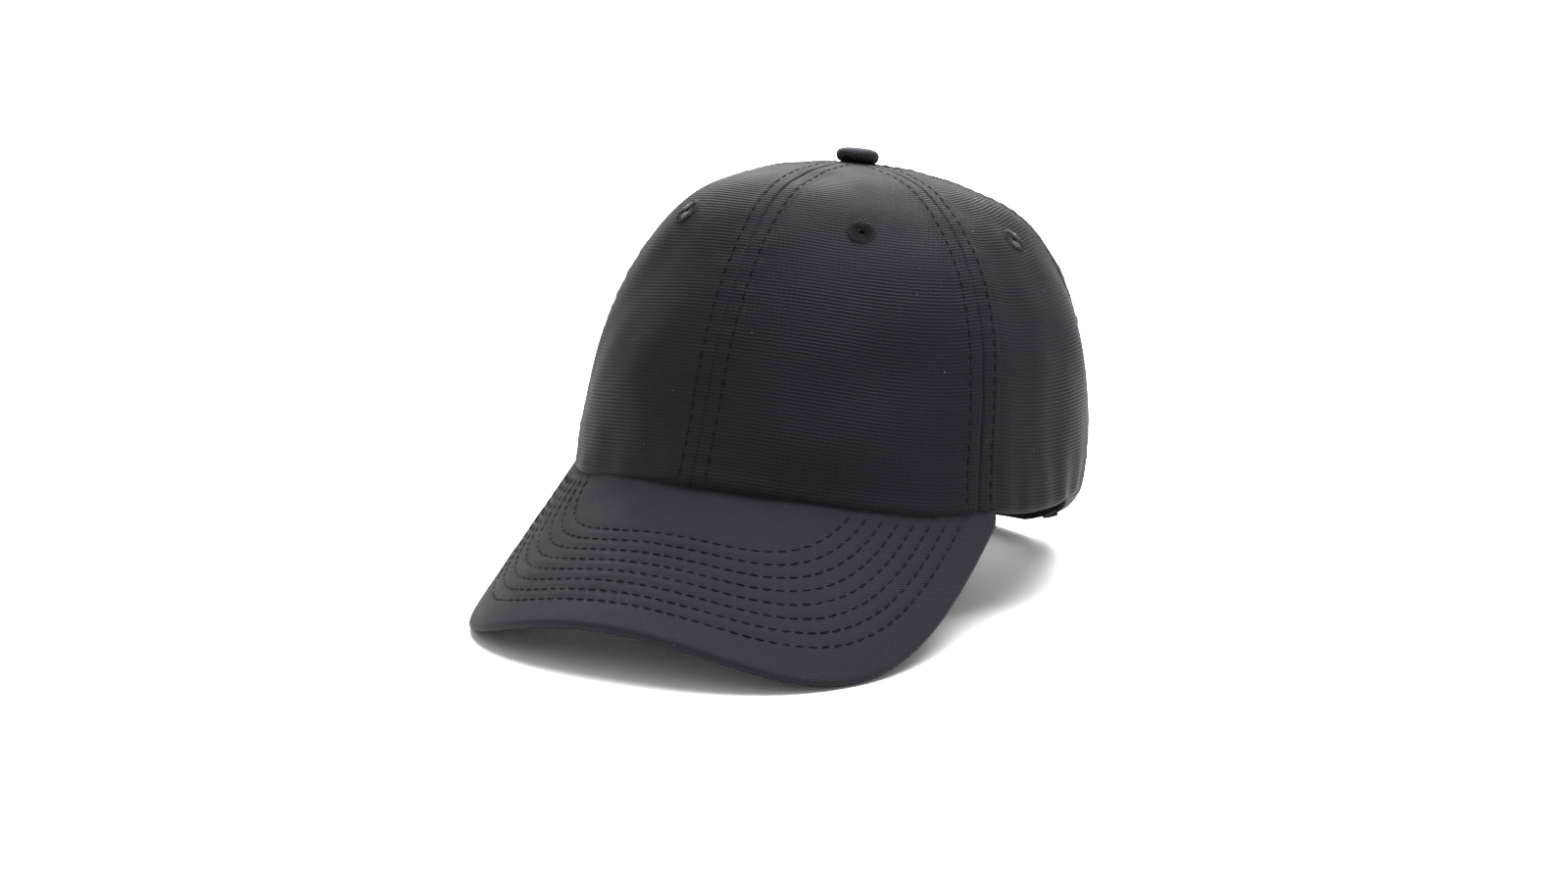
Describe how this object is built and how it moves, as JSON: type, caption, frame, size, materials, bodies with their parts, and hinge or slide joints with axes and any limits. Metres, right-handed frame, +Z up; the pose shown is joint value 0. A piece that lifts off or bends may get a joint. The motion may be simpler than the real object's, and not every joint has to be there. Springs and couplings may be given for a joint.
{
  "type": "baseball cap",
  "caption": "Soft-crowned cloth baseball cap with a curved, row-stitched peak, covered top button, thread eyelets and a rear strap with a clasp buckle.",
  "frame": {"origin": "on the floor under the middle of the cap's length and width; the cap stands on its two peak corners and the buckle behind", "axes": "+Z up, -Y the way the peak points, +X the wearer's left"},
  "size_m": [0.1838, 0.246, 0.1511],
  "materials": {
    "crown_cloth": "ripstop technical weave, satin",
    "peak_cloth": "fine weave",
    "eyelet_thread": "embroidery thread",
    "seam_tape": "twill tape",
    "sweatband_cloth": "brushed wicking cloth",
    "label_cloth": "woven satin",
    "peak_board": "moulded polyethylene board",
    "button_metal": "pressed sheet",
    "buckle_metal": "dark gunmetal plating"
  },
  "bodies": {
    "cap": {"panel_front_left": "crown_cloth", "panel_front_right": "crown_cloth", "panel_side_left": "crown_cloth", "panel_side_right": "crown_cloth", "panel_back_left": "crown_cloth", "panel_back_right": "crown_cloth", "eyelet_front_left": "eyelet_thread", "eyelet_front_right": "eyelet_thread", "eyelet_side_left": "eyelet_thread", "eyelet_side_right": "eyelet_thread", "eyelet_back_left": "eyelet_thread", "eyelet_back_right": "eyelet_thread", "tape_middle": "seam_tape", "tape_front_left": "seam_tape", "tape_front_right": "seam_tape", "tape_back_left": "seam_tape", "tape_back_right": "seam_tape", "button_cover": "crown_cloth", "button_core": "button_metal", "button_washer": "button_metal", "peak_cover_top": "peak_cloth", "peak_board": "peak_board", "peak_cover_under": "peak_cloth", "sweatband": "sweatband_cloth", "care_label": "label_cloth", "arch_binding": "seam_tape", "strap": "crown_cloth", "strap_tab": "crown_cloth", "buckle_frame": "buckle_metal", "buckle_pin": "buckle_metal"},
    "lever": {"buckle_lever": "buckle_metal"}
  },
  "joints": [
    {"name": "lever_hinge", "type": "hinge", "parent": "cap", "child": "lever", "pos_m": [-0.02719, 0.11148, 0.01334], "axis": [0.0177, 0.1618, 0.9867], "range_deg": [0, 100]}
  ]
}
